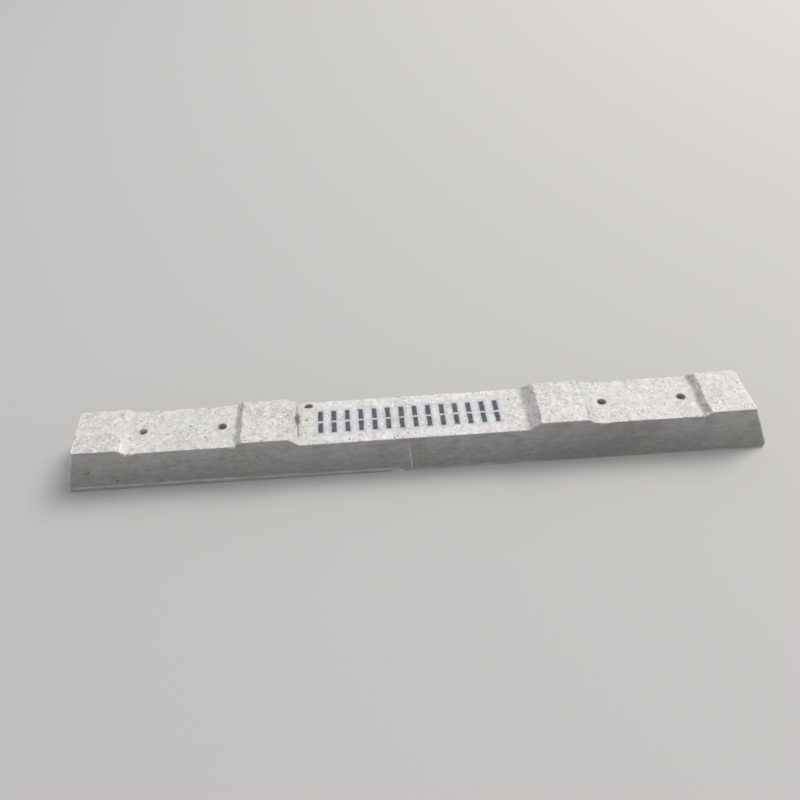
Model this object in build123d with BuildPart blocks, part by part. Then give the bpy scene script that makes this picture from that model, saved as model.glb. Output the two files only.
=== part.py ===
from build123d import *
import os

# A cast concrete railway sleeper for light narrow-gauge track, one solid piece.
# It lies on its underside, length along X, and the origin is the centre of the underside.

# Body: a bar that is widest and longest at its underside, so that it leaves its mould
height = 110.0
base_length = 1488.0
base_width = 142.0
top_length = 1396.0
top_width = 112.0

# Track: each seat lies centred under a rail head
rail_gauge = 900.0
rail_head_width = 60.33
rail_spacing = rail_gauge + rail_head_width

# Rail seat: a level floor across the bar, with a short ramp up to the block at each end
seat_depth = 10.0
seat_floor_length = 222.0
seat_ramp_length = 13.0

# Waist: the lowered middle of the bar between the two inner blocks
waist_depth = 17.0
waist_floor_length = 472.0
waist_ramp_length = 23.0

# Edges as the mould leaves them
crest_radius = 5.0
foot_radius = 8.0
corner_radius = 6.0
arris_radius = 2.0

# Bolt holes: a pair through each seat, one on each side of the rail foot
bolt_hole_diameter = 20.0
bolt_hole_spacing = 166.0

# Places along the bar, measured from its middle
rail_x = rail_spacing / 2
waist_foot_x = waist_floor_length / 2
waist_crest_x = waist_foot_x + waist_ramp_length
seat_inner_foot_x = rail_x - seat_floor_length / 2
seat_inner_crest_x = seat_inner_foot_x - seat_ramp_length
seat_outer_foot_x = rail_x + seat_floor_length / 2
seat_outer_crest_x = seat_outer_foot_x + seat_ramp_length

# Heights of the two lowered levels of the top
waist_z = height - waist_depth
seat_z = height - seat_depth

# Where the top turns up to a block and where it turns down again
crests = [(waist_crest_x, height), (seat_inner_crest_x, height), (seat_outer_crest_x, height)]
feet = [(waist_foot_x, waist_z), (seat_inner_foot_x, seat_z), (seat_outer_foot_x, seat_z)]

# The right half of the side view, from the middle out to the sloping end
side_view = [
    (0, 0),
    (0, waist_z),
    feet[0],
    crests[0],
    crests[1],
    feet[1],
    feet[2],
    crests[2],
    (top_length / 2, height),
    (base_length / 2, 0),
]


def corners_at(vertices, places):
    # The corners of the side view at the given places, on either side of the middle
    return [
        corner
        for corner in vertices
        if any(abs(abs(corner.X) - x) < 0.01 and abs(corner.Y - z) < 0.01 for x, z in places)
    ]


with BuildPart() as concrete_sleeper:
    # Cross-section: a trapezium that runs the whole length
    with BuildSketch(Plane.YZ.offset(-base_length / 2)):
        with BuildLine():
            Polyline(
                (-base_width / 2, 0),
                (base_width / 2, 0),
                (top_width / 2, height),
                (-top_width / 2, height),
                close=True,
            )
        make_face()
    extrude(amount=base_length)

    # Side view: sloping ends, blocks, seats and waist, the same across the whole width
    with BuildSketch(Plane.XZ) as side:
        with BuildLine():
            Polyline(*side_view, close=True)
        make_face()
        mirror(about=Plane.YZ)
        fillet(corners_at(side.vertices(), crests), crest_radius)
        fillet(corners_at(side.vertices(), feet), foot_radius)
    extrude(amount=base_width, both=True, mode=Mode.INTERSECT)

    # The four upright corners, then a small arris round the whole top
    upright = concrete_sleeper.edges().filter_by_position(Axis.Z, 1, waist_z - 1)
    fillet(upright, corner_radius)
    upper = concrete_sleeper.edges().filter_by_position(Axis.Z, waist_z - 1, height + 1)
    rim = upper.filter_by(Axis.Y, reverse=True)
    fillet(rim, arris_radius)

    # Bolt holes, square to the underside
    with BuildSketch(Plane.XY):
        with Locations((-rail_x, 0), (rail_x, 0)):
            with GridLocations(bolt_hole_spacing, 0, 2, 1):
                Circle(bolt_hole_diameter / 2)
    extrude(amount=height, mode=Mode.SUBTRACT)

concrete_sleeper.part.label = "concrete_sleeper"

os.makedirs("parts", exist_ok=True)
export_step(concrete_sleeper.part, "parts/concrete_sleeper.step")
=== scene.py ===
import math
from types import SimpleNamespace
import bmesh
import bpy
from mathutils import Matrix, Quaternion, Vector, noise


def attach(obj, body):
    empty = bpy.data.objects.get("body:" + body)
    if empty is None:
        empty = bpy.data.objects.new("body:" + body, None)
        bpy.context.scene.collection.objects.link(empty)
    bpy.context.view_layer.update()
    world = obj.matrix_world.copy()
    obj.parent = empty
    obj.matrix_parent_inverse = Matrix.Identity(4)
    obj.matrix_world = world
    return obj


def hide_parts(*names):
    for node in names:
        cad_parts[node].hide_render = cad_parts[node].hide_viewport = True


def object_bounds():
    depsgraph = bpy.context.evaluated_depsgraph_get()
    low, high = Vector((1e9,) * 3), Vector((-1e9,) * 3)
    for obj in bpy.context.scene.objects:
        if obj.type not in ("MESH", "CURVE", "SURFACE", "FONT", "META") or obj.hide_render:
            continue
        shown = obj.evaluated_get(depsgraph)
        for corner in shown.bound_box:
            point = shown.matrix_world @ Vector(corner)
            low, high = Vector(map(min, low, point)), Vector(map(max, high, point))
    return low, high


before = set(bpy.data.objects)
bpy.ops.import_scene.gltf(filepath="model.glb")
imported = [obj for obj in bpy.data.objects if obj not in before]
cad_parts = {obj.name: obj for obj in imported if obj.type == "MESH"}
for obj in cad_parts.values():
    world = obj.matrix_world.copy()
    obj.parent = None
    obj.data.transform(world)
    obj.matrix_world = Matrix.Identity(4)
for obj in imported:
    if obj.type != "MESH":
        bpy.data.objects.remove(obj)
cadLow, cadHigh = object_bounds()
mm = 0.001


def linearColour(hexText):  # sRGB hex to the linear values that the nodes want
    channels = []
    for at in (1, 3, 5):
        value = int(hexText[at:at + 2], 16) / 255
        channels.append(value / 12.92 if value <= 0.04045 else ((value + 0.055) / 1.055) ** 2.4)
    return (*channels, 1.0)


def ease(low, high, value):  # 0 below low, 1 above high, smooth between
    share = min(1.0, max(0.0, (value - low) / (high - low)))
    return share * share * (3 - 2 * share)


def ripple(size, x, y=0.0, z=0.0):  # smooth random field, about -1 to 1, with lumps one size across
    return noise.noise(Vector((x, y, z)) / size) * 1.4


# Camera: where the photographer stood, looking down along the top and one long side
camera = {
    "stands": (-0.1091, -0.9468, 1.1970),
    "looksAt": (-0.1082, 0.0395, 0.110),
    "roll": 3.71,  # degrees, right side down
    "lens": 31.21,  # millimetres
    "sensor": 36.0,
    "shift": 0.051,  # the picture is cut from a wider one
    "nearest": 0.01,
}


def placeCamera():
    lensData = bpy.data.cameras.new("sleeperCamera")
    lensData.sensor_width = camera["sensor"]
    lensData.lens = camera["lens"]
    lensData.shift_x = camera["shift"]
    lensData.clip_start = camera["nearest"]
    body = bpy.data.objects.new("sleeperCamera", lensData)
    bpy.context.scene.collection.objects.link(body)
    body.rotation_mode = "QUATERNION"
    body.location = camera["stands"]
    sight = Vector(camera["looksAt"]) - Vector(camera["stands"])
    lean = Quaternion((0, 0, 1), math.radians(-camera["roll"]))
    body.rotation_quaternion = sight.to_track_quat("-Z", "Y") @ lean
    bpy.context.scene.camera = body


placeCamera()
print("camera placed")


# The sleeper as it leaves the mould, in millimetres. The overall sizes come from the frame.
cast = {
    "length": (cadHigh.x - cadLow.x) / mm,  # along the underside
    "width": (cadHigh.y - cadLow.y) / mm,  # across the underside
    "height": (cadHigh.z - cadLow.z) / mm,
    "topLength": 1396.0,
    "topWidth": 112.0,
    "waist": (236.0, 259.0, 17.0),  # foot and crest of the ramp from the middle, and depth
    "seatInner": (369.165, 356.165, 10.0),
    "seatOuter": (591.165, 604.165, 10.0),
    "crestRounding": 1.7,
    "footRounding": 2.7,
    "cornerRounding": 6.0,  # upright corners at the ends
    "arrisRounding": 2.0,  # edges round the top
    "holes": (397.165, 563.165),  # distances of the bolt holes from the middle
    "holeRadius": 10.0,
    "holeFaces": 40,  # faces round each hole
    "pinLength": 130,  # the pins that leave the holes stand out at both ends
    "pinMiddle": 55,
    "sharpFrom": 50,  # degrees between faces whose edge stays sharp
}
ramps = (cast["waist"], cast["seatInner"], cast["seatOuter"])


def levelAt(x):  # height of the top at x, with sharp crests and feet
    x = abs(x)
    level = cast["height"]
    for foot, crest, depth in ramps:
        if min(foot, crest) < x < max(foot, crest):
            return level - depth * (crest - x) / (crest - foot)
    if x <= cast["waist"][0]:
        return level - cast["waist"][2]
    if cast["seatInner"][0] <= x <= cast["seatOuter"][0]:
        return level - cast["seatInner"][2]
    return level


def everything(shape):
    return shape.verts[:] + shape.edges[:] + shape.faces[:]


def cutAcross(shape, place, direction, wanted=None):  # one clean cut through the wanted faces
    if wanted is None:
        parts = everything(shape)
    else:
        faces = [face for face in shape.faces if wanted(face)]
        # each edge and point once, always in the same order, so that every run gives the same mesh
        edges = list(dict.fromkeys(edge for face in faces for edge in face.edges))
        parts = list(dict.fromkeys(point for edge in edges for point in edge.verts)) + edges + faces
    bmesh.ops.bisect_plane(shape, geom=parts, dist=0.01, plane_co=place, plane_no=direction)


def roundOff(shape, edges, amount, segments):
    bmesh.ops.bevel(shape, geom=edges, offset=amount, offset_type="OFFSET", segments=segments,
                    profile=0.5, affect="EDGES", material=-1, clamp_overlap=True)


def crosswise(edge):  # runs from the front to the back along the top
    first, second = edge.verts
    high = min(first.co.z, second.co.z) > cast["height"] / 2
    return high and abs(first.co.x - second.co.x) < 0.01 and abs(first.co.x) < cast["topLength"] / 2 - 1


def castBlank():  # a block, cut at the ramps, drawn in to its slopes, with every turn rounded
    shape = bmesh.new()
    high = cast["height"]
    bmesh.ops.create_cube(shape, size=1.0)
    bmesh.ops.scale(shape, vec=(cast["length"], cast["width"], high), verts=shape.verts)
    bmesh.ops.translate(shape, vec=(0, 0, high / 2), verts=shape.verts)
    for foot, crest, depth in ramps:
        for x in (foot, crest, -foot, -crest):
            cutAcross(shape, (x, 0, 0), (1, 0, 0))
    for point in shape.verts:
        if point.co.z > high / 2:
            point.co.z = levelAt(point.co.x)
        lift = point.co.z / high
        point.co.y *= 1 - lift * (1 - cast["topWidth"] / cast["width"])
        if abs(point.co.x) > cast["topLength"] / 2:
            point.co.x *= 1 - lift * (1 - cast["topLength"] / cast["length"])
    crests = [edge for edge in shape.edges if crosswise(edge) and edge.verts[0].co.z > high - 1]
    roundOff(shape, crests, cast["crestRounding"], 2)
    # at a foot the top turns upwards, so the angle there is below zero
    feet = [edge for edge in shape.edges if crosswise(edge) and edge.calc_face_angle_signed() < -0.4]
    roundOff(shape, feet, cast["footRounding"], 2)
    uprights = [edge for edge in shape.edges
                if abs(edge.verts[0].co.z - edge.verts[1].co.z) > high - 1]
    roundOff(shape, uprights, cast["cornerRounding"], 3)
    shape.normal_update()
    rim = [edge for edge in shape.edges
           if len({face.normal.z > 0.6 for face in edge.link_faces}) == 2
           and min(point.co.z for point in edge.verts) > high / 2]
    roundOff(shape, rim, cast["arrisRounding"], 2)
    shape.normal_update()
    return shape


# Cuts that turn the blank into small faces, in millimetres
cuts = {
    "along": 2.2,  # spacing along the bar
    "alongFine": 1.3,  # the same near the foot or the crest of a ramp
    "fineReach": 8.0,
    "endsBefore": 4.0,  # the last cut lies about this far from the end
    "across": 2.4,  # spacing across the top
    "acrossRows": 22,  # on each side of the middle
    "under": 18.0,  # spacing across the underside
    "underRows": 3,
    # heights of the cuts round the sides, closer together where the arris and the foot are worn
    "sides": (1.5, 3.2, 5.2, 7.4, 9.0, 11, 14, 18, 23, 28, 34, 40, 46, 52, 58, 64, 70, 75, 79, 82.5, 85.5,
              88, 90, 92, 94.2, 96.4, 98.4, 100.6, 102.8, 104.8, 106.6),
    # and down the bolt holes, closer together at their mouths
    "bores": (20, 45, 62, 74, 82, 88, 92, 95, 97.3, 98.8),
    "slivers": 0.3,  # points nearer than this become one
    "weld": 0.05,  # the same after the holes are drilled
}


def stations():  # places of the cuts along the bar, closer together at the ramps
    turns = [place for foot, crest, depth in ramps for place in (foot, crest)]
    places = [0.0]
    while places[-1] < cast["length"] / 2 - cuts["endsBefore"]:
        near = any(abs(places[-1] - turn) < cuts["fineReach"] for turn in turns)
        places.append(places[-1] + cuts["alongFine" if near else "along"])
    return places + [-place for place in places[1:]]


def rows(spacing, count):  # places of the cuts on both sides of the middle
    return [row * spacing for row in range(-count, count + 1)]


def dice(shape):  # cuts the blank into small faces that can be worn and chipped
    for x in stations():
        cutAcross(shape, (x, 0, 0), (1, 0, 0), lambda face: abs(face.normal.x) < 0.9)
    print("  cut along the bar:", len(shape.faces), "faces")
    for z in cuts["sides"]:
        cutAcross(shape, (0, 0, z), (0, 0, 1), lambda face: abs(face.normal.z) < 0.6)
    print("  cut round the sides:", len(shape.faces), "faces")
    for y in rows(cuts["across"], cuts["acrossRows"]):
        cutAcross(shape, (0, y, 0), (0, 1, 0), lambda face: face.normal.z > -0.9)
    for y in rows(cuts["under"], cuts["underRows"]):
        cutAcross(shape, (0, y, 0), (0, 1, 0), lambda face: face.normal.z <= -0.9)
    bmesh.ops.remove_doubles(shape, verts=shape.verts, dist=cuts["slivers"])
    print("  cut across the top:", len(shape.faces), "faces")


# What casting, handling and rain have done to the surfaces, with painted light and shade among them, in
# millimetres.
# Places on the top are x and y; places on the front side are x and z.
wear = {
    "topWaves": ((95, 0.5), (30, 0.32), (11, 0.26), (5.5, 0.22)),  # size and height of the unevenness
    "topWorn": 0.8,  # lost everywhere
    "sideWaves": ((140, 0.30), (36, 0.12), (12, 0.05)),
    "sideWorn": 0.35,
    # underside: unevenness with its seeds, how far it is lifted, the flat rim's inner edge, and finish
    "underWaves": ((60, 0.25, 4), (9, 0.2, 9)),
    "underLift": 0.45,
    "underRim": (740, 68),
    "underBleached": 0.35,
    # how deep the arris has crumbled, by a seat deeper, and how far from it
    "arrisChips": 2.0,
    "seatArrisChips": 3.0,
    "arrisReach": 5.0,
    # bolt holes: mortar on the wall, how uneven it is, how much less of it at the mouth, how much it
    # has crept in from the front and the back, and how far the rim is worn down
    "bores": {"mortar": 0.8, "ragged": 0.4, "mouth": 0.35, "crept": 0.2, "rim": 0.9,
              "bleached": 0.6, "rimShade": 0.3, "deepShade": 0.5,
              "dustyBefore": -500, "dust": 0.55},  # the hole before this place is half choked with dust
    # where each ramp starts at the top: place, depth of the chips, how far the line wanders, dirt in it
    "crests": ((-604.2, 2.4, 1.6, 0.15), (-356.2, 1.0, 1.0, 0.6), (-259.0, 0.9, 1.2, 0.1),
               (259.0, 2.3, 1.6, 1.0), (356.2, 1.1, 2.0, 0.8), (604.2, 1.9, 3.4, 0.4)),
    # how grey each ramp is, partly the mould's smooth skin left on it and partly painted shade on the ramps
    # that
    # face away from the lamp: foot, crest, share, and how wide the change is
    "smooth": ((-591.2, -604.2, 0.12, 2.0), (-369.2, -356.2, 0.60, 4.6), (-236.0, -259.0, 0.38, 2.0),
               (236.0, 259.0, 0.68, 1.6), (369.2, 356.2, 0.34, 1.4), (591.2, 604.2, 0.92, 1.6)),
    # mortar that bulged out at the mould joints: place, half size and how far it stands out
    "lumps": ((-597, -55, 24, 10, 2.6), (-577, -59, 15, 7, 1.6), (-374, -57, 13, 8, 1.5),
              (389, -58, 20, 6, 2.0), (594, -57, 14, 7, 1.6), (-606, 56, 16, 8, 1.4),
              (372, 57, 18, 6, 1.2), (598, 57, 12, 6, 1.4), (-366, 57, 15, 6, 1.0)),
    # air holes and lost stones on the top: place, half size and depth
    "pits": ((-464.9, 6.4, 2.3, 2.0, 2.6), (-432.0, -7.3, 1.9, 1.8, 2.2), (-430.1, -26.3, 1.8, 3.4, 1.4),
             (-425, -33, 1.5, 1.5, 1.2), (-216.5, 47.4, 9.8, 7.2, 2.0), (-223.0, 45.9, 4.8, 3.9, 1.5),
             (-222.1, 8.0, 3.3, 2.7, 3.2), (-604.5, -29.0, 2.4, 2.0, 1.6),
             (-228.4, -10.7, 1.8, 1.6, 1.6), (-224.1, -24.6, 1.8, 1.6, 1.4), (-268.8, 19.6, 2.6, 1.8, 1.8),
             (-264, 25, 1.8, 1.5, 1.4), (-259, 12, 2.6, 1.8, 2.0), (-133.8, -50.9, 2.2, 1.8, 1.6),
             (-41.7, -53.4, 3.0, 2.2, 2.2), (-35.6, -50.0, 2.0, 1.8, 1.6), (208.1, 29.8, 2.0, 1.8, 2.0)),
    "steepPits": 5,  # pits of more than this half size have steep walls
    "brownPits": 4,  # and of more than this hold rusty dirt
    # air holes on the front side
    "sidePits": ((-690.0, 65.7, 3.2, 1.6, 1.5), (-678.5, 52.8, 3.8, 2.1, 2.2), (-627.2, 24.5, 5.0, 2.4, 1.2),
                 (-325.8, 67.4, 2.0, 1.5, 1.5), (330, 48, 1.8, 1.5, 1.0)),
    # lumps of pale mortar on the top: place, half size, and how far they stand out
    "chalk": ((-601.0, -45.0, 3.6, 12.0, 0.9), (-596.0, -55.0, 9.0, 4.0, 0.6)),
    # folds along a ramp's foot or crest: place, where it starts and ends across, width, depth, and the dirt
    # and painted shade in it
    "creases": ((-239.2, -50.0, 52.0, 3.1, 1.9, 1.1), (357.0, 30.0, 62.0, 1.5, 0.8, 0.6),
                (357.5, -58.0, -14.0, 1.5, 0.8, 0.6)),
    # rusty water by the oval hole and by an outer seat: place, half size and share
    "stains": ((-224.0, 28.0, 32.0, 40.0, 0.11), (586.0, 8.0, 10.0, 20.0, 0.06)),
    # joint line of the mould on the front side: places at its top and bottom, how pale it is and how
    # much of that is lost upwards; and the wet patch next to it, which fades out over wetEnd
    "seam": {"top": -13.0, "bottom": -5.0, "high": 93.0, "width": 1.3, "proud": 0.5,
             "pale": 0.66, "paleLost": 0.32, "wet": 0.2, "wetEnd": (18, 34)},
    # thin curved scrapes on the front side, from one end to the other
    "scrapes": ((139.8, 56, 135.1, 37, 1.2), (247, 42, 240, 25, 1.3), (240, 25, 240.3, 11, 1.0),
                (-420, 58, -402, 40, 0.8), (520, 66, 545, 60, 0.7)),
    "scrapeWidth": 1.7,
    "scrapeBend": 3.0,
    # spilt mortar along the foot of the left half, which stands straight up as a low lip; the pale line on
    # its top edge is pale mortar with a painted highlight
    "lip": {"high": 8.6, "leftHigh": 10.6, "from": -740.0, "to": -24.0,
            "pale": 0.36, "facePale": 0.10, "breakPale": 0.8},
    # pale mortar line along the foot of the right half, with a painted highlight: it gets lower over the
    # change
    "paleFootHighlight": {"high": 3.0, "leftMore": 3.2, "change": (200, 300), "pale": 0.36},
    # darker parts of the front side: place, half size and share
    "darkPatches": ((405.0, 45.0, 200.0, 84.0, 0.28), (-450.0, 30.0, 130.0, 60.0, 0.07),
             (110.0, 40.0, 120.0, 60.0, 0.03)),
    # painted highlights on the ends' front upright edges: how bright, how uneven, and where it fades
    "highlightLeft": (0.42, 0.25, 3.8, 8.2),
    "highlightRight": (0.34, 0.2, 3.2, 6.0),
    "highlightFoot": (744, -71, 0.6),  # painted highlight on the right end's front corner at the floor: place and how bright
    # how far the ends bend from straight: at the foot, with the height and its square, and to the back
    "leftEnd": (5.0, -17.8, 9.9, 0.0),
    "rightEnd": (7.4, -8.0, 0.0, -3.4),
    # knocked corners: place, the way they are knocked in, depth and softness
    "knocks": (((698, 56, 110), (-0.62, -0.62, -0.30), 6.2, 3.0),
               ((744, -71, 0), (-0.62, 0.45, 0.64), 2.2, 1.6),
               ((-744, -71, 0), (0.62, 0.45, 0.64), 3.5, 2.0)),
}


def roundDent(x, y, patch):  # 1 in the middle of a patch, 0 outside its uneven rim
    middleX, middleY, sizeX, sizeY = patch[:4]
    wobble = 1 + 0.22 * ripple(4.0, x, y, middleX)
    away = math.hypot((x - middleX) / sizeX, (y - middleY) / sizeY) / wobble
    return 1 - ease(0.45, 1.15, away)


def wavesAt(waves, x, y, z, seed):
    return sum(rise * ripple(size, x + seed, y - seed, z) for size, rise in waves)


def arrisChip(x, side):  # how much of the arris has crumbled away at x
    onSeat = 366 < abs(x) < 596
    amount = wear["seatArrisChips"] if onSeat else wear["arrisChips"]
    ragged = 0.5 * ripple(19, x, side * 61, 5) + 0.5 * ripple(7.5, x, side * 37, 8)
    ragged += 0.4 * ripple(3.6, x, side)
    return amount * ease(-0.05, 0.8, ragged)


def crestChip(x, y):  # the same along the top edge of each ramp
    lost = 0.0
    crumbs = 0.0
    for place, amount, wander, dirtAndShade in wear["crests"]:
        away = abs(x - place)
        if away < 8:
            ragged = 0.55 * ripple(15, y, place, 2) + 0.6 * ripple(6, y, place, 7)
            lost = max(lost, amount * ease(-0.1, 0.75, ragged) * (1 - ease(1.0, 6.5, away)))
            speckled = ease(0.0, 0.55, ripple(3.4, x, y, place) + 0.5 * ripple(9, y, place))
            crumbs = max(crumbs, dirtAndShade * speckled * (1 - ease(0.8, 3.4, away)))
    return lost, crumbs


def rampGreyAndShade(x, y):  # how grey a ramp is: the mould's smooth skin left on it, and painted shade where it faces away from the lamp
    most = 0.0
    for foot, crest, share, softness in wear["smooth"]:
        up = (x - foot) / (crest - foot)  # 0 at the foot, 1 at the crest
        if -1 < up < 1.5:
            fraying = softness / abs(crest - foot)
            onRamp = ease(-0.42, 0.22, up + 1.5 * fraying * ripple(12, x, y, 7))
            onRamp *= 1 - ease(-0.6 * fraying, fraying, up - 1 + fraying * ripple(5, x, y, 4))
            most = max(most, share * onRamp * (0.88 + 0.35 * ripple(6, x, y, 9)))
    return min(1.0, most)


def rampShift(x, y):  # ramps don't run ruler-straight across
    shift = 0.0
    for place, amount, wander, dirtAndShade in wear["crests"]:
        nearness = 1 - ease(14, 42, abs(x - place))
        bends = ripple(46, y, place, 3) + 0.35 * ripple(15, y, place, 6) + 0.2 * ripple(6, y, place, 1)
        shift += nearness * wander * bends
    return shift


def knockedCorner(p):  # pulls the damaged corners in
    for corner, inward, depth, softness in wear["knocks"]:
        offset = p - Vector(corner)
        if offset.length < 60:
            inwards = Vector(inward).normalized()
            behind = offset.dot(inwards)
            limit = depth + 0.8 * ripple(7, p.x, p.y, p.z)
            if behind < limit + softness:
                pull = (limit + softness - behind) ** 2 / (4 * softness)
                pull = pull if behind > limit - softness else limit - behind
                p = p + inwards * pull * (1 - ease(22, 56, offset.length))
    return p


def wearBore(p):  # wall of a bolt hole, narrowed by mortar: where a point ends up, and its finish
    x, y, z = p
    bores = wear["bores"]
    deep = levelAt(x) - z
    mouth = 1 - ease(0.0, 2.0, deep)
    narrower = bores["mortar"] + bores["ragged"] * ripple(7, x, y, z) - bores["mouth"] * mouth
    nearest = min(cast["holes"], key=lambda place: abs(abs(x) - place))
    axis = Vector((math.copysign(nearest, x), 0, z))
    moved = p + (axis - p).normalized() * narrower
    moved.y *= 1 - bores["crept"] * (1 - ease(4, 16, deep))
    moved.z -= bores["rim"] * (1 - ease(0.0, 1.5, deep))
    shade = bores["rimShade"] * (1 - ease(0.5, 3, deep)) + bores["deepShade"] * ease(20, 55, deep)
    dusty = bores["dust"] * (1 - ease(10, 26, deep)) if x < bores["dustyBefore"] else 0.0
    return moved, (bores["bleached"], shade, dusty, 0.0)


def wearUnderside(p):  # uneven and a little off the floor, except along its rim
    lift = 0.0
    if abs(p.x) < wear["underRim"][0] and abs(p.y) < wear["underRim"][1]:
        lift = wear["underLift"]
        for size, rise, seed in wear["underWaves"]:
            lift += rise * ripple(size, p.x, p.y, seed)
    return p + Vector((0, 0, lift)), (wear["underBleached"], 0.0, 0.0, 0.0)


def spotAt(p, normal):  # a point of the blank: where it lies, and the marks of wear and of painted light and shade on it
    x, y, z = p
    level = levelAt(x)
    halfWide = (cast["width"] - (cast["width"] - cast["topWidth"]) * z / cast["height"]) / 2
    halfLong = (cast["length"] - (cast["length"] - cast["topLength"]) * z / cast["height"]) / 2
    inwards = max(0.0, halfWide - abs(y))
    fromEnd = max(0.0, halfLong - abs(x))
    down = max(0.0, level - z)
    return SimpleNamespace(x=x, y=y, z=z, normal=normal, side=1 if y > 0 else -1, level=level,
                           topness=ease(0.30, 0.62, normal.z), fromArris=inwards + down,
                           fromEndArris=fromEnd + down, fromUpright=fromEnd + inwards,
                           move=0.0, lumpy=0.0, dark=0.0, pale=0.0, brown=0.0)


def wearFolds(spot):  # folds along the ramps, darkened with dirt and painted shade; returns how much rusty water reaches this place
    reached = 1.0
    for place, start, end, width, depth, dirtAndShade in wear["creases"]:
        if abs(spot.x - place) < 9:
            line = place - 0.03 * spot.y + 0.9 * ripple(9, spot.y, 3, 1)
            length = end - start
            along = ease(start, start + 0.2 * length, spot.y) * (1 - ease(end - 0.1 * length, end, spot.y))
            deepest = 1 - ease(0.03, 0.22, abs(spot.y - start - 0.6 * length) / length)
            thick = width * (0.6 + 1.3 * deepest)
            share = (1 - ease(0.25, 1.3, abs(spot.x - line) / thick)) * along
            spot.move -= share * depth
            # painted shade and dirt in the fold
            spot.dark = max(spot.dark, min(1.0, dirtAndShade * share * (0.5 + 0.5 * deepest)))
            reached = min(reached, 1 - share * deepest)
    return reached


def wearTop(spot):  # rough top: unevenness, chipped ramps, air holes, pale mortar, folds and rust
    x, y = spot.x, spot.y
    spot.move += spot.topness * (wavesAt(wear["topWaves"], x, y, 0, 13.0) - wear["topWorn"])
    lost, crumbs = crestChip(x, y)
    spot.move -= spot.topness * lost
    spot.dark = max(spot.dark, 0.75 * crumbs)
    for pit in wear["pits"]:
        if abs(x - pit[0]) < 14 and abs(y - pit[1]) < 14:
            dent = roundDent(x, y, pit)
            if pit[2] > wear["steepPits"]:
                dent = ease(0.2, 0.6, dent)
            spot.move -= dent * pit[4]
            # painted shade inside the air hole
            spot.dark = max(spot.dark, dent)
            if pit[2] > wear["brownPits"]:
                spot.brown = max(spot.brown, dent)
    for patch in wear["chalk"]:
        swell = roundDent(x, y, patch)
        spot.move += swell * patch[4]
        spot.pale = max(spot.pale, 0.75 * swell)
    reached = wearFolds(spot)
    for stain in wear["stains"]:
        spot.brown = max(spot.brown, reached * stain[4] * roundDent(x, y, stain))


def wearSeam(spot):  # joint line of the mould; next to it a darker patch with upright runs
    x, z = spot.x, spot.z
    seam = wear["seam"]
    line = seam["bottom"] + (seam["top"] - seam["bottom"]) * z / seam["high"] + 0.5 * ripple(14, z, 1, 4)
    ridge = 1 - ease(0.35, 1.25, abs(x - line) / seam["width"])
    spot.move += ridge * seam["proud"]
    bright = seam["pale"] - seam["paleLost"] * ease(20, 85, z)
    spot.pale = max(spot.pale, ridge * bright * (0.8 + 0.3 * ripple(8, z, 3)))
    runs = 0.5 + 0.5 * ripple(5, x, z / 9, 2)
    wet = seam["wet"] * ease(line + 1, line + 4, x) * (1 - ease(*seam["wetEnd"], x))
    spot.dark = max(spot.dark, wet * runs)


def wearFront(spot):  # the long side that faces the camera: air holes, darker patches, joint line and scrapes
    x, z = spot.x, spot.z
    for pit in wear["sidePits"]:
        if abs(x - pit[0]) < 9 and abs(z - pit[1]) < 6:
            dent = roundDent(x, z, pit)
            spot.move -= dent * pit[4]
            # painted shade inside the air hole
            spot.dark = max(spot.dark, 0.8 * dent)
    for darkPatches in wear["darkPatches"]:
        reach = math.hypot((x - darkPatches[0]) / darkPatches[2], (z - darkPatches[1]) / darkPatches[3])
        spot.dark = max(spot.dark, darkPatches[4] * (1 - ease(0.1, 1.2, reach)))
    wearSeam(spot)
    for startX, startZ, endX, endZ, deep in wear["scrapes"]:
        between = min(startZ, endZ) < z < max(startZ, endZ)
        if between and min(startX, endX) - 6 < x < max(startX, endX) + 6:
            share = (z - startZ) / (endZ - startZ)
            bulge = math.sin(math.pi * share)
            line = startX + (endX - startX) * share + wear["scrapeBend"] * bulge
            mark = 1 - ease(0.3, 1.2, abs(x - line) / wear["scrapeWidth"])
            spot.move -= 0.35 * deep * mark
            spot.dark = max(spot.dark, 0.45 * deep * mark * bulge)


def chipEdges(spot):  # crumbled arrises along the top and at the ends
    chip = arrisChip(spot.x, spot.side) * (1 - ease(0.6, wear["arrisReach"], spot.fromArris))
    ragged = ripple(13, spot.y, spot.x / 40, 5) + 0.3 * ripple(5, spot.y, spot.x / 40, 2)
    endChip = wear["arrisChips"] * ease(0.1, 0.9, ragged)
    spot.move -= max(chip, endChip * (1 - ease(0.6, wear["arrisReach"], spot.fromEndArris)))


def addLumps(spot):  # crumbly pale mortar that stands out along the arrises
    x, y, z = spot.x, spot.y, spot.z
    for placeX, placeY, sizeX, sizeY, proud in wear["lumps"]:
        if abs(x - placeX) < sizeX * 1.3 and y * placeY > 0 and z > 70:
            reach = math.hypot((x - placeX) / sizeX, (spot.fromArris + 0.001) / sizeY)
            crumbly = 0.62 + 0.45 * ripple(8, x, y, z) + 0.5 * ripple(3.6, x, y, z)
            swell = (1 - ease(0.25, 1.1, reach)) * crumbly
            spot.move += swell * proud
            spot.pale = max(spot.pale, 0.5 * swell)
            spot.lumpy = max(spot.lumpy, ease(0.1, 0.5, swell))


def bleachedAt(spot):  # the rough bleached skin ends just below the arris, along a ragged line
    x = spot.x
    onSeat = ease(362, 370, abs(x)) * (1 - ease(590, 598, abs(x)))
    edge = 1.2 + 0.5 * onSeat + (0.8 + 1.6 * onSeat) * ripple(11, x, spot.side * 20, 3)
    edge = max(0.4, edge + (0.6 + 0.8 * onSeat) * ripple(4.5, x, spot.side * 20, 6))
    bleached = spot.topness if spot.fromArris > 6 else ease(0.12, 0.4, spot.normal.z)
    white = bleached * (1 - ease(edge, edge + 1.5, spot.level - spot.z))
    # the ramps' grey takes the bleached skin away, partly as painted shade
    return max(white * (1 - rampGreyAndShade(x, spot.y)), spot.lumpy)


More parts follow.
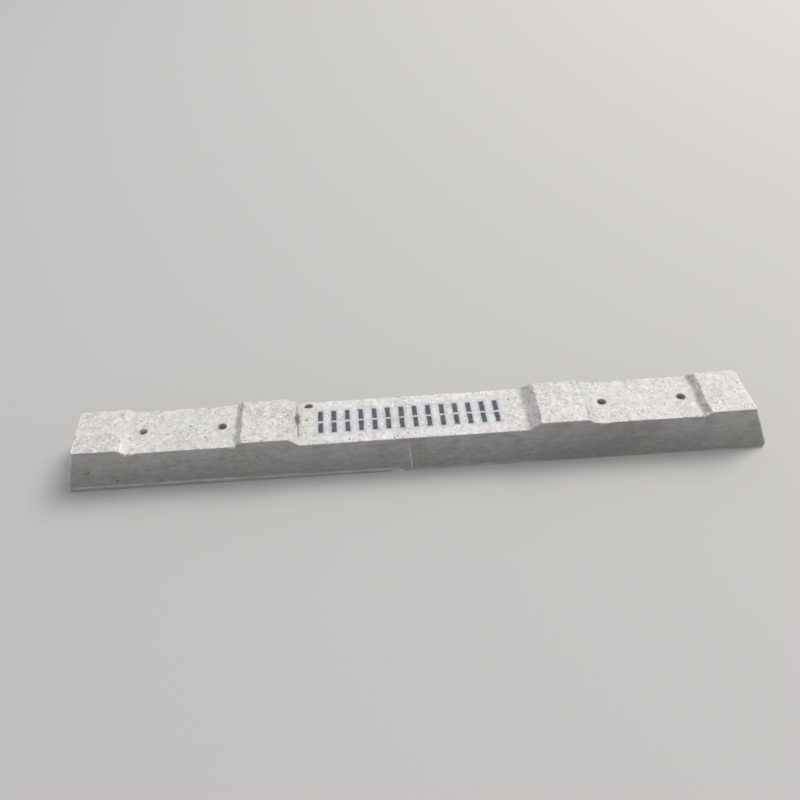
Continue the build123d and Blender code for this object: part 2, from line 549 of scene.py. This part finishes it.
def paintEndHighlights(spot):  # painted highlights along the ends' edges, the upright one on the left most
    bright, uneven, near, far = wear["highlightLeft" if spot.x < 0 else "highlightRight"]
    highlight = 0.0
    if spot.y < 0:
        highlight = (bright + uneven * ripple(16, spot.z, 4, 2)) * (1 - ease(near, far, spot.fromUpright))
    footX, footY, atFoot = wear["highlightFoot"]
    fromFoot = math.hypot(spot.x - footX, spot.y - footY, spot.z)
    highlight = max(highlight, atFoot * (1 - ease(9, 15, fromFoot)))
    # painted highlight along the ends' top edges, with the upright edges' and the foot corner's
    spot.pale = max(spot.pale, 0.8 * (1 - ease(1.0, 3.5, spot.fromEndArris)), highlight)


def wearFoot(spot, moved):  # the lip along the foot of the left half, and the pale line along the rest, both lines partly painted highlight
    x, z = spot.x, spot.z
    lip, foot = wear["lip"], wear["paleFootHighlight"]
    share = ease(lip["from"], lip["from"] + 10, x) * (1 - ease(lip["to"] - 12, lip["to"], x))
    edge = lip["high"] + (lip["leftHigh"] - lip["high"]) * ease(-100, -500, x)
    edge += 0.9 * ripple(30, x, 0, 3) + 0.5 * ripple(8, x, 0, 5)
    stand = share * (1 - ease(edge - 1.2, edge + 0.8, z))
    outer = -cast["width"] / 2 + 0.15 + 0.12 * ripple(20, x, z, 2)
    moved.y = moved.y * (1 - stand) + outer * stand
    faded = 0.6 + 0.5 * ripple(45, x, 0, 8)
    # pale mortar along the lip's top edge, with a painted highlight where the step catches light
    paleEdgeHighlight = lip["pale"] * faded * (1 - ease(0.8, 2.4, abs(z - edge)))
    spot.pale = max(spot.pale, share * (paleEdgeHighlight + lip["facePale"] * stand))
    line = foot["high"] + foot["leftMore"] * (1 - ease(*foot["change"], x))
    # pale mortar along the foot of the right half, with a painted highlight
    spot.pale = max(spot.pale, foot["pale"] * (1 - share) * faded * (1 - ease(line - 1.6, line + 1.2, z)))
    if lip["to"] - 26 < x < lip["to"]:  # where the lip ends, its break is the palest
        spot.pale = max(spot.pale, lip["breakPale"] * (1 - ease(2.5, 4.5, z)))


def bentEnd(spot):  # how far this place has moved along the bar, because the ends aren't straight
    rise = spot.z / cast["height"]
    foot, lean, curve, skew = wear["leftEnd" if spot.x < 0 else "rightEnd"]
    bend = foot + lean * rise + curve * rise * rise + skew * (0.5 + spot.y / cast["topWidth"])
    bend *= ease(650, 700, abs(spot.x))
    if spot.x < 0 and bend > 0:  # the left end's foot is drawn in at the front only
        bend *= 1 - ease(-20, 50, spot.y)
    return bend


def wearPoint(p, normal):  # where a point of the blank ends up, and what the finish there is, painted light and shade included
    hole = min(math.hypot(abs(p.x) - place, p.y) for place in cast["holes"])
    if hole < cast["holeRadius"] + 0.3 and p.z > 0.5:
        return wearBore(p)
    if normal.z < -0.9:
        return wearUnderside(p)
    spot = spotAt(p, normal)
    if spot.topness > 0:
        wearTop(spot)
    if spot.topness < 1:
        spot.move += (1 - spot.topness) * (wavesAt(wear["sideWaves"], *p, 57.0) - wear["sideWorn"])
        if spot.y < 0 and normal.y < -0.6:
            wearFront(spot)
    chipEdges(spot)
    addLumps(spot)
    white = bleachedAt(spot)
    paintEndHighlights(spot)
    moved = p + normal * spot.move
    if spot.topness > 0.5:
        moved.x += rampShift(spot.x, spot.y)
    if spot.y < 0 and spot.z < 16 and abs(normal.y) > 0.6:
        wearFoot(spot, moved)
    moved.x = min(cast["length"] / 2, moved.x + bentEnd(spot))
    moved = knockedCorner(moved)
    moved.y = max(-cast["width"] / 2, min(cast["width"] / 2, moved.y))
    moved.z = max(0.0, min(cast["height"], moved.z))
    return moved, (white, spot.dark, spot.pale, spot.brown)


def wearAll(shape):
    shape.normal_update()
    marks = shape.verts.layers.float_color.new("finishAndLightMarks")
    worn = [wearPoint(point.co.copy(), point.normal.copy()) for point in shape.verts]
    for point, (place, finish) in zip(shape.verts, worn):
        point.co = place
        point[marks] = finish


def refineNear(shape, pits, onTop):  # smaller faces where an air hole is too fine for the cuts
    for pit in pits:
        reach = max(pit[2], pit[3]) + 2.5
        edges = []
        for edge in shape.edges:
            middle = (edge.verts[0].co + edge.verts[1].co) / 2
            across = middle.y if onTop else middle.z
            rightFace = middle.z > 85 if onTop else middle.y < -55 and 2 < middle.z < 104
            if rightFace and math.hypot(middle.x - pit[0], across - pit[1]) < reach:
                edges.append(edge)
        bmesh.ops.subdivide_edges(shape, edges=edges, cuts=1, use_grid_fill=True)


def meshPiece(name, shape):
    data = bpy.data.meshes.new(name)
    shape.to_mesh(data)
    shape.free()
    piece = bpy.data.objects.new(name, data)
    bpy.context.scene.collection.objects.link(piece)
    return piece


def drillHoles(piece):  # the four bolt holes, straight through
    pins = bmesh.new()
    for rail in cast["holes"]:
        for x in (-rail, rail):
            bmesh.ops.create_cone(pins, cap_ends=True, segments=cast["holeFaces"], depth=cast["pinLength"],
                                  radius1=cast["holeRadius"], radius2=cast["holeRadius"],
                                  matrix=Matrix.Translation((x, 0, cast["pinMiddle"])))
    for height in cuts["bores"]:
        cutAcross(pins, (0, 0, height), (0, 0, 1))
    cutter = meshPiece("holePins", pins)
    cut = piece.modifiers.new("holes", "BOOLEAN")
    cut.operation = "DIFFERENCE"
    cut.solver = "EXACT"
    cut.object = cutter
    finished = piece.evaluated_get(bpy.context.evaluated_depsgraph_get())
    drilled = bpy.data.meshes.new_from_object(finished)
    piece.modifiers.clear()
    blank = piece.data
    piece.data = drilled
    bpy.data.meshes.remove(blank)
    bpy.data.objects.remove(cutter)


def castSleeper():
    blank = castBlank()
    print("blank cast:", len(blank.faces), "faces")
    dice(blank)
    refineNear(blank, wear["pits"], True)
    refineNear(blank, wear["sidePits"], False)
    piece = meshPiece("cast_concrete_sleeper", blank)
    drillHoles(piece)
    print("holes drilled:", len(piece.data.polygons), "faces")
    shape = bmesh.new()
    shape.from_mesh(piece.data)
    # welded in the order of their places, so that every run gives the same mesh
    inOrder = sorted(shape.verts, key=lambda point: point.co[:])
    bmesh.ops.remove_doubles(shape, verts=inOrder, dist=cuts["weld"])
    spare = [point for point in shape.verts if len(point.link_edges) == 2]  # halfway along one edge
    bmesh.ops.dissolve_verts(shape, verts=spare)
    wearAll(shape)
    bmesh.ops.scale(shape, vec=(mm, mm, mm), verts=shape.verts)
    for face in shape.faces:
        face.smooth = True
    shape.to_mesh(piece.data)
    shape.free()
    piece.data.set_sharp_from_angle(angle=math.radians(cast["sharpFrom"]))
    print("sleeper worn:", len(piece.data.vertices), "points")
    return piece


sleeper = castSleeper()
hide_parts("concrete_sleeper")
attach(sleeper, "root")


def addNode(tree, kind, settings=None, **inputs):  # a node with its settings, and its values or links
    node = tree.nodes.new(kind)
    for name, value in (settings or {}).items():
        setattr(node, name, value)
    for name, value in inputs.items():
        socket = node.inputs[int(name[1:])] if name[1:].isdigit() else node.inputs[name]
        if isinstance(value, bpy.types.Node):
            value = next(output for output in value.outputs if output.enabled)
        if isinstance(value, bpy.types.NodeSocket):
            tree.links.new(value, socket)
        else:
            socket.default_value = value
    return node


# Cast concrete: cement paste and sand. The sides set against smooth steel, so they are fine and
# grey, and painted shade darkens them further; the rough top has bleached, and shows sand grains, small air
# holes and faint tints.
concrete = {
    "topColour": "#d9d6d3",
    "waistColour": "#e9e9e9",
    "speckColour": "#67625c",
    "sideColourAndShade": "#adaca9",
    "sideLowShade": "#94938f",
    "paleMortarAndHighlight": "#eeece8",
    "dirtAndShade": "#4a443d",
    "rustWater": "#d8bcae",
    "rustBrown": "#504a41",
    "topRoughness": 0.93,
    "sideRoughness": 0.72,
    "refraction": 1.5,
    "grainDepth": 0.0009,  # metres
    "sideGrainShare": 0.06,
    "topGrainShare": 0.4,
    "speckSpacing": 8.0,  # millimetres
    "jogScale": 200.0,
    "jogReach": 0.004,  # metres
    # random patterns: size in millimetres, octaves, their fade, stretch, and where each starts
    "patterns": {
        "clouds": (45.0, 4.0, 0.55, (1, 1, 1), 0.0),
        "tints": (60.0, 2.0, 0.5, (1, 1, 1), 7.7),
        "patches": (15.0, 3.0, 0.55, (1, 1, 1), 3.1),
        "clusters": (24.0, 3.0, 0.5, (1, 1, 1), 12.3),
        "mottle": (9.5, 3.0, 0.6, (1, 1, 1), 4.4),
        "sand": (4.3, 2.0, 0.6, (1, 1, 1), 0.0),  # real sand is finer, so it is drawn coarse enough to show
        "streaks": (22.0, 4.0, 0.6, (0.35, 1, 1.6), 1.3),
        "sideGrain": (9.0, 4.0, 0.6, (0.5, 1, 1.2), 2.2),
        "spray": (13.0, 2.0, 0.5, (1, 1, 1), 9.0),
        "fines": (1.4, 2.0, 0.6, (1, 1, 1), 5.0),
    },
    # colours laid over the top and over the sides: pattern, where it starts and is full, share, colour
    "topLayers": (
        ("tints", 0.50, 0.72, 0.7, "#dacfc9"), ("tints", 0.48, 0.30, 0.7, "#d0d3ca"),
        ("clouds", 0.40, 0.68, 0.5, "#c3bfbb"), ("patches", 0.50, 0.72, 0.6, "#e9e7e5"),
        ("mottle", 0.52, 0.72, 0.75, "#b5b0aa"), ("mottle", 0.48, 0.28, 0.75, "#edebe9"),
    ),
    "grainLayers": (("sand", 0.53, 0.73, 0.72, "#938e88"), ("sand", 0.47, 0.28, 0.8, "#fbfaf8")),
    "sideLayers": (
        ("clouds", 0.44, 0.66, 0.6, "#8f8e8b"), ("tints", 0.46, 0.28, 0.4, "#9c9c91"),
        ("patches", 0.55, 0.75, 0.25, "#9d9594"), ("streaks", 0.50, 0.75, 0.35, "#b4b3af"),
        ("streaks", 0.46, 0.28, 0.4, "#84827e"), ("sideGrain", 0.50, 0.74, 0.5, "#7b7975"),
        ("sideGrain", 0.50, 0.24, 0.4, "#bcbbb7"),
    ),
    # what a pattern or a distance in metres is turned into: its start and end, and what these give
    "ranges": {
        "fraying": (0.35, 0.65, -1.9, 1.9),
        "waist": (0.225, 0.185, 0.0, 0.6),
        "sandiness": (0.38, 0.62, 0.2, 1.1),
        "speckRadius": (0.58, 1.0, -0.05, 0.19),
        "speckRim": (0.05, -0.04, 0.0, 0.75),
        "lowSideShade": (0.096, 0.014, 0.0, 1.0),
    },
}

# Two rows of plain stencilled bars, sprayed in charcoal paint in the middle of the top, in millimetres
stencil = {
    "colour": "#3b4042",
    "mist": "#a3aabd",
    "middle": -7.5,
    "halfLength": 190.5,
    "halfHeight": 29.0,
    "pitch": 28.4,
    "halfBar": 5.2,
    "bridge": 2.2,
    "softness": 1.5,
    "mistReach": 11.0,
    "mistShare": 0.5,
    "uneven": 1.8,
    "thin": (0.35, 0.6, 0.97, 0.84),  # a pattern's start and end, and the paint's shares there
}
smoothly = {"interpolation_type": "SMOOTHSTEP"}
inColour = {"data_type": "RGBA"}


def limits(turn):  # start, end and results as the inputs of a Map Range node
    return dict(zip(("i1", "i2", "i3", "i4"), turn))


def layColours(tree, patterns, colour, layers, where=1.0):  # patterned colours, one over the other
    for name, start, full, share, hexColour in layers:
        amount = addNode(tree, "ShaderNodeMapRange", smoothly, i0=patterns[name],
                         **limits((start, full, 0.0, share)))
        amount = addNode(tree, "ShaderNodeMath", {"operation": "MULTIPLY"}, i0=amount, i1=where)
        colour = addNode(tree, "ShaderNodeMix", inColour, i0=amount, i6=colour, i7=linearColour(hexColour))
    return colour


def sprayedBars(tree, patterns, axes):  # how far a place is outside the stencilled bars, in millimetres
    along = addNode(tree, "ShaderNodeMath", {"operation": "MULTIPLY_ADD"}, i0=axes.outputs["X"], i1=1 / mm,
                    i2=-stencil["middle"])
    across = addNode(tree, "ShaderNodeMath", {"operation": "MULTIPLY"}, i0=axes.outputs["Y"], i1=1 / mm)
    across = addNode(tree, "ShaderNodeMath", {"operation": "ABSOLUTE"}, i0=across)
    shifted = addNode(tree, "ShaderNodeMath", {"operation": "ADD"}, i0=along, i1=stencil["pitch"] / 2)
    repeated = addNode(tree, "ShaderNodeMath", {"operation": "WRAP"}, i0=shifted, i1=stencil["pitch"] / 2,
                       i2=-stencil["pitch"] / 2)
    repeated = addNode(tree, "ShaderNodeMath", {"operation": "ABSOLUTE"}, i0=repeated)
    bar = addNode(tree, "ShaderNodeMath", {"operation": "SUBTRACT"}, i0=repeated, i1=stencil["halfBar"])
    row = addNode(tree, "ShaderNodeMath", {"operation": "SUBTRACT"}, i0=across, i1=stencil["halfHeight"])
    span = addNode(tree, "ShaderNodeMath", {"operation": "ABSOLUTE"}, i0=along)
    ends = addNode(tree, "ShaderNodeMath", {"operation": "SUBTRACT"}, i0=span, i1=stencil["halfLength"])
    gap = addNode(tree, "ShaderNodeMath", {"operation": "SUBTRACT"}, i0=stencil["bridge"], i1=across)
    outside = bar
    for limit in (row, ends, gap):
        outside = addNode(tree, "ShaderNodeMath", {"operation": "MAXIMUM"}, i0=outside, i1=limit)
    uneven = addNode(tree, "ShaderNodeMapRange", i0=patterns["spray"],
                     **limits((0.0, 1.0, -stencil["uneven"], stencil["uneven"])))
    return addNode(tree, "ShaderNodeMath", {"operation": "ADD"}, i0=outside, i1=uneven)


def bleachedTop(tree, patterns, axes):  # colour of the rough top; its sand shows most in some places
    fromMiddle = addNode(tree, "ShaderNodeMath", {"operation": "ABSOLUTE"}, i0=axes.outputs["X"])
    waist = addNode(tree, "ShaderNodeMapRange", smoothly, i0=fromMiddle,
                    **limits(concrete["ranges"]["waist"]))
    top = addNode(tree, "ShaderNodeMix", inColour, i0=waist, i6=linearColour(concrete["topColour"]),
                  i7=linearColour(concrete["waistColour"]))
    top = layColours(tree, patterns, top, concrete["topLayers"])
    sandy = addNode(tree, "ShaderNodeMapRange", i0=patterns["clusters"],
                    **limits(concrete["ranges"]["sandiness"]))
    return layColours(tree, patterns, top, concrete["grainLayers"], sandy), sandy


def darkSpecks(tree, place, sandy):  # specks of uneven shape, most of them too small to see
    jog = addNode(tree, "ShaderNodeTexNoise", Vector=place, Scale=concrete["jogScale"])
    jog = addNode(tree, "ShaderNodeVectorMath", {"operation": "SCALE"}, i0=jog.outputs["Color"],
                  Scale=concrete["jogReach"])
    jogged = addNode(tree, "ShaderNodeVectorMath", {"operation": "ADD"}, i0=place, i1=jog)
    cells = addNode(tree, "ShaderNodeTexVoronoi", Vector=jogged,
                    Scale=1 / mm / concrete["speckSpacing"])
    chance = addNode(tree, "ShaderNodeSeparateColor", Color=cells.outputs["Color"])
    radius = addNode(tree, "ShaderNodeMapRange", i0=chance, **limits(concrete["ranges"]["speckRadius"]))
    away = addNode(tree, "ShaderNodeMath", {"operation": "SUBTRACT"}, i0=cells, i1=radius)
    speck = addNode(tree, "ShaderNodeMapRange", smoothly, i0=away, **limits(concrete["ranges"]["speckRim"]))
    return addNode(tree, "ShaderNodeMath", {"operation": "MULTIPLY"}, i0=speck, i1=sandy)


def smoothSide(tree, patterns, axes):  # colour of the smooth sides, darkened as painted shade, more so towards the floor
    low = addNode(tree, "ShaderNodeMapRange", smoothly, i0=axes.outputs["Z"],
                  **limits(concrete["ranges"]["lowSideShade"]))
    side = addNode(tree, "ShaderNodeMix", inColour, i0=low, i6=linearColour(concrete["sideColourAndShade"]),
                   i7=linearColour(concrete["sideLowShade"]))
    return layColours(tree, patterns, side, concrete["sideLayers"])


def castConcrete():
    material = bpy.data.materials.new("castConcrete")
    material.use_nodes = True
    tree = material.node_tree
    tree.nodes.clear()
    place = addNode(tree, "ShaderNodeTexCoord").outputs["Object"]
    axes = addNode(tree, "ShaderNodeSeparateXYZ", Vector=place)
    marks = addNode(tree, "ShaderNodeAttribute", {"attribute_name": "finishAndLightMarks"})
    white, dark, pale = addNode(tree, "ShaderNodeSeparateColor", Color=marks.outputs["Color"]).outputs
    brown = marks.outputs["Alpha"]
    patterns = {}
    for name, (size, octaves, fade, stretch, start) in concrete["patterns"].items():
        moved = addNode(tree, "ShaderNodeMapping", Vector=place, Scale=stretch,
                        Location=(start, start, start))
        patterns[name] = addNode(tree, "ShaderNodeTexNoise", Vector=moved, Scale=1 / mm / size,
                                 Detail=octaves, Roughness=fade)

    # where smooth skin and bleached top meet, grains of each show in the other
    rest = addNode(tree, "ShaderNodeMath", {"operation": "SUBTRACT"}, i0=1.0, i1=white)
    meeting = addNode(tree, "ShaderNodeMath", {"operation": "MULTIPLY"}, i0=white, i1=rest)
    grains = addNode(tree, "ShaderNodeMapRange", i0=patterns["sand"], **limits(concrete["ranges"]["fraying"]))
    white = addNode(tree, "ShaderNodeMath", {"operation": "MULTIPLY_ADD", "use_clamp": True}, i0=meeting,
                    i1=grains, i2=white)

    top, sandy = bleachedTop(tree, patterns, axes)
    speck = darkSpecks(tree, place, sandy)
    top = addNode(tree, "ShaderNodeMix", inColour, i0=speck, i6=top, i7=linearColour(concrete["speckColour"]))
    side = smoothSide(tree, patterns, axes)
    skin = addNode(tree, "ShaderNodeMix", inColour, i0=white, i6=side, i7=top)

    # the marks of wear, with painted shade in the dark mark and painted highlights in the pale one: mark,
    # where it starts and is full, share, colour
    for mark, start, full, share, name in ((pale, 0.0, 1.0, 1.0, "paleMortarAndHighlight"),
                                           (dark, 0.0, 1.0, 0.85, "dirtAndShade"),
                                           (brown, 0.0, 0.3, 0.5, "rustWater"),
                                           (brown, 0.3, 1.0, 0.9, "rustBrown")):
        amount = addNode(tree, "ShaderNodeMapRange", i0=mark, **limits((start, full, 0.0, share)))
        skin = addNode(tree, "ShaderNodeMix", inColour, i0=amount, i6=skin, i7=linearColour(concrete[name]))

    # paint on the bleached top, thinner in places, with its mist around it
    edge = sprayedBars(tree, patterns, axes)
    thin = addNode(tree, "ShaderNodeMapRange", i0=patterns["mottle"], **limits(stencil["thin"]))
    for full, reach, share, name in ((-1.0, stencil["mistReach"], stencil["mistShare"], "mist"),
                                     (-stencil["softness"], stencil["softness"], thin, "colour")):
        amount = addNode(tree, "ShaderNodeMapRange", smoothly, i0=edge, **limits((reach, full, 0.0, share)))
        amount = addNode(tree, "ShaderNodeMath", {"operation": "MULTIPLY"}, i0=amount, i1=white)
        skin = addNode(tree, "ShaderNodeMix", inColour, i0=amount, i6=skin, i7=linearColour(stencil[name]))

    rough = addNode(tree, "ShaderNodeMapRange", i0=white, i3=concrete["sideRoughness"],
                    i4=concrete["topRoughness"])
    grain = addNode(tree, "ShaderNodeMath", {"operation": "ADD"}, i0=patterns["sand"], i1=patterns["fines"])
    grain = addNode(tree, "ShaderNodeMath", {"operation": "SUBTRACT"}, i0=grain, i1=speck)
    strength = addNode(tree, "ShaderNodeMapRange", i0=white, i3=concrete["sideGrainShare"],
                       i4=concrete["topGrainShare"])
    bump = addNode(tree, "ShaderNodeBump", Strength=strength, Distance=concrete["grainDepth"], Height=grain)
    shader = addNode(tree, "ShaderNodeBsdfPrincipled", Roughness=rough, Normal=bump,
                     IOR=concrete["refraction"], **{"Base Color": skin})
    addNode(tree, "ShaderNodeOutputMaterial", Surface=shader)
    return material


sleeper.data.materials.clear()
sleeper.data.materials.append(castConcrete())
print("concrete finished")


# Studio: a pale floor, an even pale sky and one big soft lamp from the right and behind
studio = {
    "floorColour": "#c3c1be",
    "floorRoughness": 0.95,
    "floorSize": 40.0,
    "skyColour": "#f6f8fb",
    "skyStrength": 0.54,
    "lampPlace": (4.9, 3.2, 7.6),
    "lampSize": 4.8,
    "lampPower": 680.0,
    "lampColour": "#fffdfb",
}


def makeFloor():
    shape = bmesh.new()
    bmesh.ops.create_grid(shape, x_segments=2, y_segments=2, size=studio["floorSize"] / 2)
    floor = meshPiece("studioFloor", shape)
    material = bpy.data.materials.new("paleFloorPaper")
    material.use_nodes = True
    shader = material.node_tree.nodes["Principled BSDF"]
    shader.inputs["Base Color"].default_value = linearColour(studio["floorColour"])
    shader.inputs["Roughness"].default_value = studio["floorRoughness"]
    floor.data.materials.append(material)


def makeSky():
    world = bpy.data.worlds.new("paleSky")
    world.use_nodes = True
    tree = world.node_tree
    tree.nodes.clear()
    # the camera and reflections see plain white, and the light on the sleeper is a little plainer
    rays = addNode(tree, "ShaderNodeLightPath").outputs
    seen = addNode(tree, "ShaderNodeMath", {"operation": "MAXIMUM"}, i0=rays["Is Camera Ray"],
                   i1=rays["Is Glossy Ray"])
    seen = addNode(tree, "ShaderNodeMath", {"operation": "MAXIMUM"}, i0=seen, i1=rays["Is Transmission Ray"])
    light = addNode(tree, "ShaderNodeBackground", Color=linearColour(studio["skyColour"]),
                    Strength=studio["skyStrength"])
    shown = addNode(tree, "ShaderNodeBackground", Color=(1, 1, 1, 1), Strength=1.0)
    mixed = addNode(tree, "ShaderNodeMixShader", i0=seen, i1=light, i2=shown)
    addNode(tree, "ShaderNodeOutputWorld", Surface=mixed)
    bpy.context.scene.world = world


def makeLamp():
    lamp = bpy.data.lights.new("softLamp", "AREA")
    lamp.shape = "SQUARE"
    lamp.size = studio["lampSize"]
    lamp.energy = studio["lampPower"]
    lamp.color = linearColour(studio["lampColour"])[:3]
    body = bpy.data.objects.new("softLamp", lamp)
    bpy.context.scene.collection.objects.link(body)
    body.location = studio["lampPlace"]
    body.rotation_mode = "QUATERNION"
    body.rotation_quaternion = (-Vector(studio["lampPlace"])).to_track_quat("-Z", "Y")


makeFloor()
makeSky()
makeLamp()
bpy.context.scene.view_settings.view_transform = "Standard"
print("studio lit")
